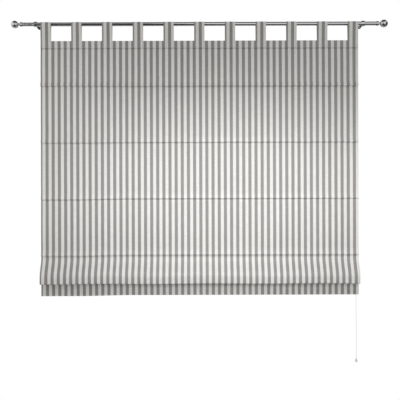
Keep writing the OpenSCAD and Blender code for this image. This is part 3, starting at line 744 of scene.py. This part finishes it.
bump = addNode(tree, "Bump", {
    "Height": grain.outputs["Fac"], "Strength": zinc["bump"], "Distance": zinc["relief"]})
setInputs(tree, shader, {
    "Base Color": tint.outputs[2], "Roughness": gloss.outputs[0], "Normal": bump.outputs[0]})

# Planed softwood batten: long pale grain with darker growth lines
pine = {
    "early": "#D9BE92", "late": "#B58F5B",
    "ring": 0.004, "along": 1.5,    # growth lines in metres; changes for each metre of their length
    "bump": 0.2, "relief": 0.0002,
}
finish["batten_wood"], tree, shader = newMaterial("planedSoftwood", {"Roughness": 0.6})
place = addNode(tree, "TexCoord").outputs["Object"]
grainMap = addNode(tree, "Mapping", {
    "Vector": place, "Scale": (pine["along"], 1 / pine["ring"], 1 / pine["ring"])})
grain = addNode(tree, "TexNoise", {
    "Vector": grainMap.outputs[0], "Scale": 1.0, "Detail": 4.0, "Distortion": 0.6})
tint = addNode(tree, "Mix", {
    0: grain.outputs["Fac"], 6: hexColour(pine["early"]), 7: hexColour(pine["late"])}, data_type="RGBA")
bump = addNode(tree, "Bump", {
    "Height": grain.outputs["Fac"], "Strength": pine["bump"], "Distance": pine["relief"]})
setInputs(tree, shader, {"Base Color": tint.outputs[2], "Normal": bump.outputs[0]})

# Pultruded glass fibre: waxy off-white with fibres along the rod.
# Real bundles are about 0.2 mm wide; they are drawn 0.6 mm wide to show.
fibre = {
    "pale": "#EDEDE4", "deep": "#DAD9CC",
    "strand": 0.0006, "along": 12,
    "bump": 0.15, "relief": 0.0001,
}
finish["glass_fibre"], tree, shader = newMaterial("glassFibreRod", {"Roughness": 0.4})
place = addNode(tree, "TexCoord").outputs["Object"]
strandMap = addNode(tree, "Mapping", {
    "Vector": place, "Scale": (fibre["along"], 1 / fibre["strand"], 1 / fibre["strand"])})
strand = addNode(tree, "TexNoise", {"Vector": strandMap.outputs[0], "Scale": 1.0, "Detail": 3.0})
tint = addNode(tree, "Mix", {
    0: strand.outputs["Fac"], 6: hexColour(fibre["deep"]), 7: hexColour(fibre["pale"])}, data_type="RGBA")
bump = addNode(tree, "Bump", {
    "Height": strand.outputs["Fac"], "Strength": fibre["bump"], "Distance": fibre["relief"]})
setInputs(tree, shader, {"Base Color": tint.outputs[2], "Normal": bump.outputs[0]})

# Mill-finish aluminium bar: dull, with rolled lines along its length.
# Real lines are about 0.1 mm apart; they are drawn 0.5 mm apart to show.
bar = {
    "colour": "#C3C4C6", "roughness": (0.28, 0.5),
    "line": 0.0005, "along": 8,
    "bump": 0.2, "relief": 0.0001,
}
finish["bar_aluminium"], tree, shader = newMaterial("milledAluminium", {
    "Metallic": 1.0, "Base Color": hexColour(bar["colour"])})
place = addNode(tree, "TexCoord").outputs["Object"]
lineMap = addNode(tree, "Mapping", {
    "Vector": place, "Scale": (bar["along"], 1 / bar["line"], 1 / bar["line"])})
line = addNode(tree, "TexNoise", {"Vector": lineMap.outputs[0], "Scale": 1.0, "Detail": 2.0})
gloss = addNode(tree, "MapRange", {
    "Value": line.outputs["Fac"], "To Min": bar["roughness"][0], "To Max": bar["roughness"][1]})
bump = addNode(tree, "Bump", {
    "Height": line.outputs["Fac"], "Strength": bar["bump"], "Distance": bar["relief"]})
setInputs(tree, shader, {"Roughness": gloss.outputs[0], "Normal": bump.outputs[0]})

# Moulded white plastic: even semi-gloss with a very fine spark texture.
# The real texture is about 0.1 mm; it is drawn at 1.2 mm to show.
plastic = {
    "colour": "#EDEDE8", "shade": "#E2E2DC",
    "cloud": 0.02, "roughness": (0.30, 0.42),
    "spark": 0.0012, "bump": 0.08, "relief": 0.0001,
}
finish["white_plastic"], tree, shader = newMaterial("mouldedWhitePlastic", {})
place = addNode(tree, "TexCoord").outputs["Object"]
spark = addNode(tree, "TexNoise", {"Vector": place, "Scale": 1 / plastic["spark"], "Detail": 2.0})
cloud = addNode(tree, "TexNoise", {"Vector": place, "Scale": 1 / plastic["cloud"], "Detail": 2.0})
tint = addNode(tree, "Mix", {
    0: cloud.outputs["Fac"], 6: hexColour(plastic["shade"]), 7: hexColour(plastic["colour"])},
    data_type="RGBA")
gloss = addNode(tree, "MapRange", {
    "Value": cloud.outputs["Fac"], "To Min": plastic["roughness"][0], "To Max": plastic["roughness"][1]})
bump = addNode(tree, "Bump", {
    "Height": spark.outputs["Fac"], "Strength": plastic["bump"], "Distance": plastic["relief"]})
setInputs(tree, shader, {
    "Base Color": tint.outputs[2], "Roughness": gloss.outputs[0], "Normal": bump.outputs[0]})

# Braided polyester cord: two sets of strands that cross, with painted shade in the gaps between them
braid = {
    # gap: the cord's colour darkened as painted shade, for the gaps between the strands
    "colour": "#F1F0EA", "gap": "#C9C7BE",
    "lay": 0.0035,      # along the cord, for one turn of a strand
    "strandHeightAndGapShade": (0.05, 0.2),
    "bump": 0.5, "relief": 0.0002,
}
finish["braided_cord"], tree, shader = newMaterial("braidedPolyesterCord", {
    "Roughness": 0.7, "Sheen Weight": 0.15})
flat = addNode(tree, "UVMap", uv_map="flatCut").outputs["UV"]
layMap = addNode(tree, "Mapping", {"Vector": flat, "Scale": (1.0, 1 / braid["lay"], 1)})
apart = addNode(tree, "SeparateXYZ", {"Vector": layMap.outputs[0]})
leftLay = addNode(tree, "Math", {0: apart.outputs["X"], 1: apart.outputs["Y"]}, operation="ADD")
rightLay = addNode(tree, "Math", {0: apart.outputs["X"], 1: apart.outputs["Y"]}, operation="SUBTRACT")
leftStrand = addNode(tree, "Math", {0: leftLay.outputs[0], 1: 0.25}, operation="PINGPONG")
rightStrand = addNode(tree, "Math", {0: rightLay.outputs[0], 1: 0.25}, operation="PINGPONG")
crossing = addNode(tree, "Math", {0: leftStrand.outputs[0], 1: rightStrand.outputs[0]}, operation="MAXIMUM")
strandHeightAndGapShade = addNode(tree, "MapRange", {
    "Value": crossing.outputs[0], "From Min": braid["strandHeightAndGapShade"][0], "From Max": braid["strandHeightAndGapShade"][1]})
# the strand mask also darkens the colour where the strands dip: painted shade in the gaps
tint = addNode(tree, "Mix", {
    0: strandHeightAndGapShade.outputs[0], 6: hexColour(braid["gap"]), 7: hexColour(braid["colour"])}, data_type="RGBA")
bump = addNode(tree, "Bump", {
    "Height": strandHeightAndGapShade.outputs[0], "Strength": braid["bump"], "Distance": braid["relief"]})
setInputs(tree, shader, {"Base Color": tint.outputs[2], "Normal": bump.outputs[0]})

slotOf = {part["node"]: part["material_slot"] for part in frame["record"]["subparts"]}
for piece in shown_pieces():
    slot = piece["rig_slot"] if "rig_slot" in piece else slotOf[piece.name]
    piece.data.materials.clear()
    piece.data.materials.append(finish[slot])
print("materials given")


# Stage: a pale floor well below, soft lamps and a white background
stage = {
    "floor": "#EFEEEB", "floorHeight": -2.75, "floorHalf": 9.0, "floorBack": 3.4,
    "ambient": 0.67,    # the level at which the background lights the cloth
}
lamps = {  # cone in degrees; wide stretches it sideways
    "key": {"watts": 116, "at": (0.22, -2.15, 1.35), "aim": (0.14, -0.1, -1.0),
            "radius": 0.2, "cone": 20, "wide": 2.5},
    "front": {"watts": 146, "at": (0.22, -4.0, 0.25), "aim": (0.14, -0.1, -0.90),
              "radius": 0.15, "cone": 17, "wide": 1.8},
    "broad": {"watts": 108, "at": (0.16, -4.0, -0.55), "aim": (0.06, -0.1, -0.80),
              "radius": 0.06, "cone": 22.5, "wide": 2.4},
    "fill": {"watts": 40, "at": (-1.5, -3.0, 0.1), "aim": (-0.66, -0.1, -0.38),
             "radius": 0.3, "cone": 20, "wide": 1.0},
}
flags = {  # dark studio cloths seen only in reflections, to draw dark bands on polished metal
    "overhead": ("#454547", [(-3.0, -2.5, 2.4), (3.0, -2.5, 2.4), (3.0, 1.2, 2.4), (-3.0, 1.2, 2.4)]),
    "below": ("#3C3C3E", [(-3.0, -3.4, -2.2), (3.0, -3.4, -2.2), (3.0, 0.6, -2.2), (-3.0, -0.8, -2.2)]),
    "left": ("#68686B", [(-1.6, -3.0, -2.0), (0.35, -3.0, -2.0), (-0.55, -3.0, 1.8), (-1.6, -3.0, 1.8)]),
    "behind": ("#454547", [(-1.1, 1.5, -1.2), (2.4, 1.5, -1.2), (2.4, 1.5, 1.0), (-1.1, 1.5, 1.0)]),
    "right": ("#454547", [(2.4, -1.2, -1.2), (2.4, 1.5, -1.2), (2.4, 1.5, 1.0), (2.4, -1.2, 1.0)]),
}


def addBackdrop(name, corners, materialName, colour, roughness):  # one flat four-cornered sheet of the stage
    mesh = bpy.data.meshes.new(name)
    mesh.from_pydata(corners, [], [(0, 1, 2, 3)])
    mesh.materials.append(newMaterial(materialName, {
        "Roughness": roughness, "Base Color": hexColour(colour)})[0])
    sheet = addObject(name, mesh)
    return sheet


half, back, height = stage["floorHalf"], stage["floorBack"], stage["floorHeight"]
floorCorners = [(-half, -half, height), (half, -half, height), (half, back, height), (-half, back, height)]
addBackdrop("floor", floorCorners, "paleFloorPaint", stage["floor"], 0.9)
for name, (colour, corners) in flags.items():
    flag = addBackdrop(name + "Flag", corners, name + "StudioCloth", colour, 1.0)
    flag.visible_camera = flag.visible_diffuse = flag.visible_shadow = flag.visible_transmission = False

for name, lamp in lamps.items():
    light = bpy.data.lights.new(name, "SPOT")
    light.energy = lamp["watts"]
    light.shadow_soft_size = lamp["radius"]
    light.spot_size = radians(lamp["cone"])
    light.spot_blend = 1.0
    holder = addObject(name, light)
    holder.location = lamp["at"]
    holder.scale = (lamp["wide"], 1, 1)
    holder.rotation_euler = (Vector(lamp["aim"]) - Vector(lamp["at"])).to_track_quat("-Z", "Y").to_euler()

# the camera, polished metal and clear things see plain white; the cloth is lit at the ambient level
world = bpy.data.worlds.new("studio")
bpy.context.scene.world = world
world.use_nodes = True
tree = world.node_tree
tree.nodes.clear()
rays = addNode(tree, "LightPath").outputs
mirrored = addNode(tree, "Math", {
    0: rays["Is Glossy Ray"], 1: rays["Is Transmission Ray"]}, operation="MAXIMUM")
seen = addNode(tree, "Math", {0: rays["Is Camera Ray"], 1: mirrored.outputs[0]}, operation="MAXIMUM")
strength = addNode(tree, "Mix", {0: seen.outputs[0], 2: stage["ambient"], 3: 1.0})
glow = addNode(tree, "Background", {"Color": (1, 1, 1, 1), "Strength": strength.outputs[0]})
addNode(tree, "OutputWorld", {"Surface": glow.outputs[0]})
bpy.context.scene.view_settings.view_transform = "Standard"
print("stage lit")

bpy.context.view_layer.update()
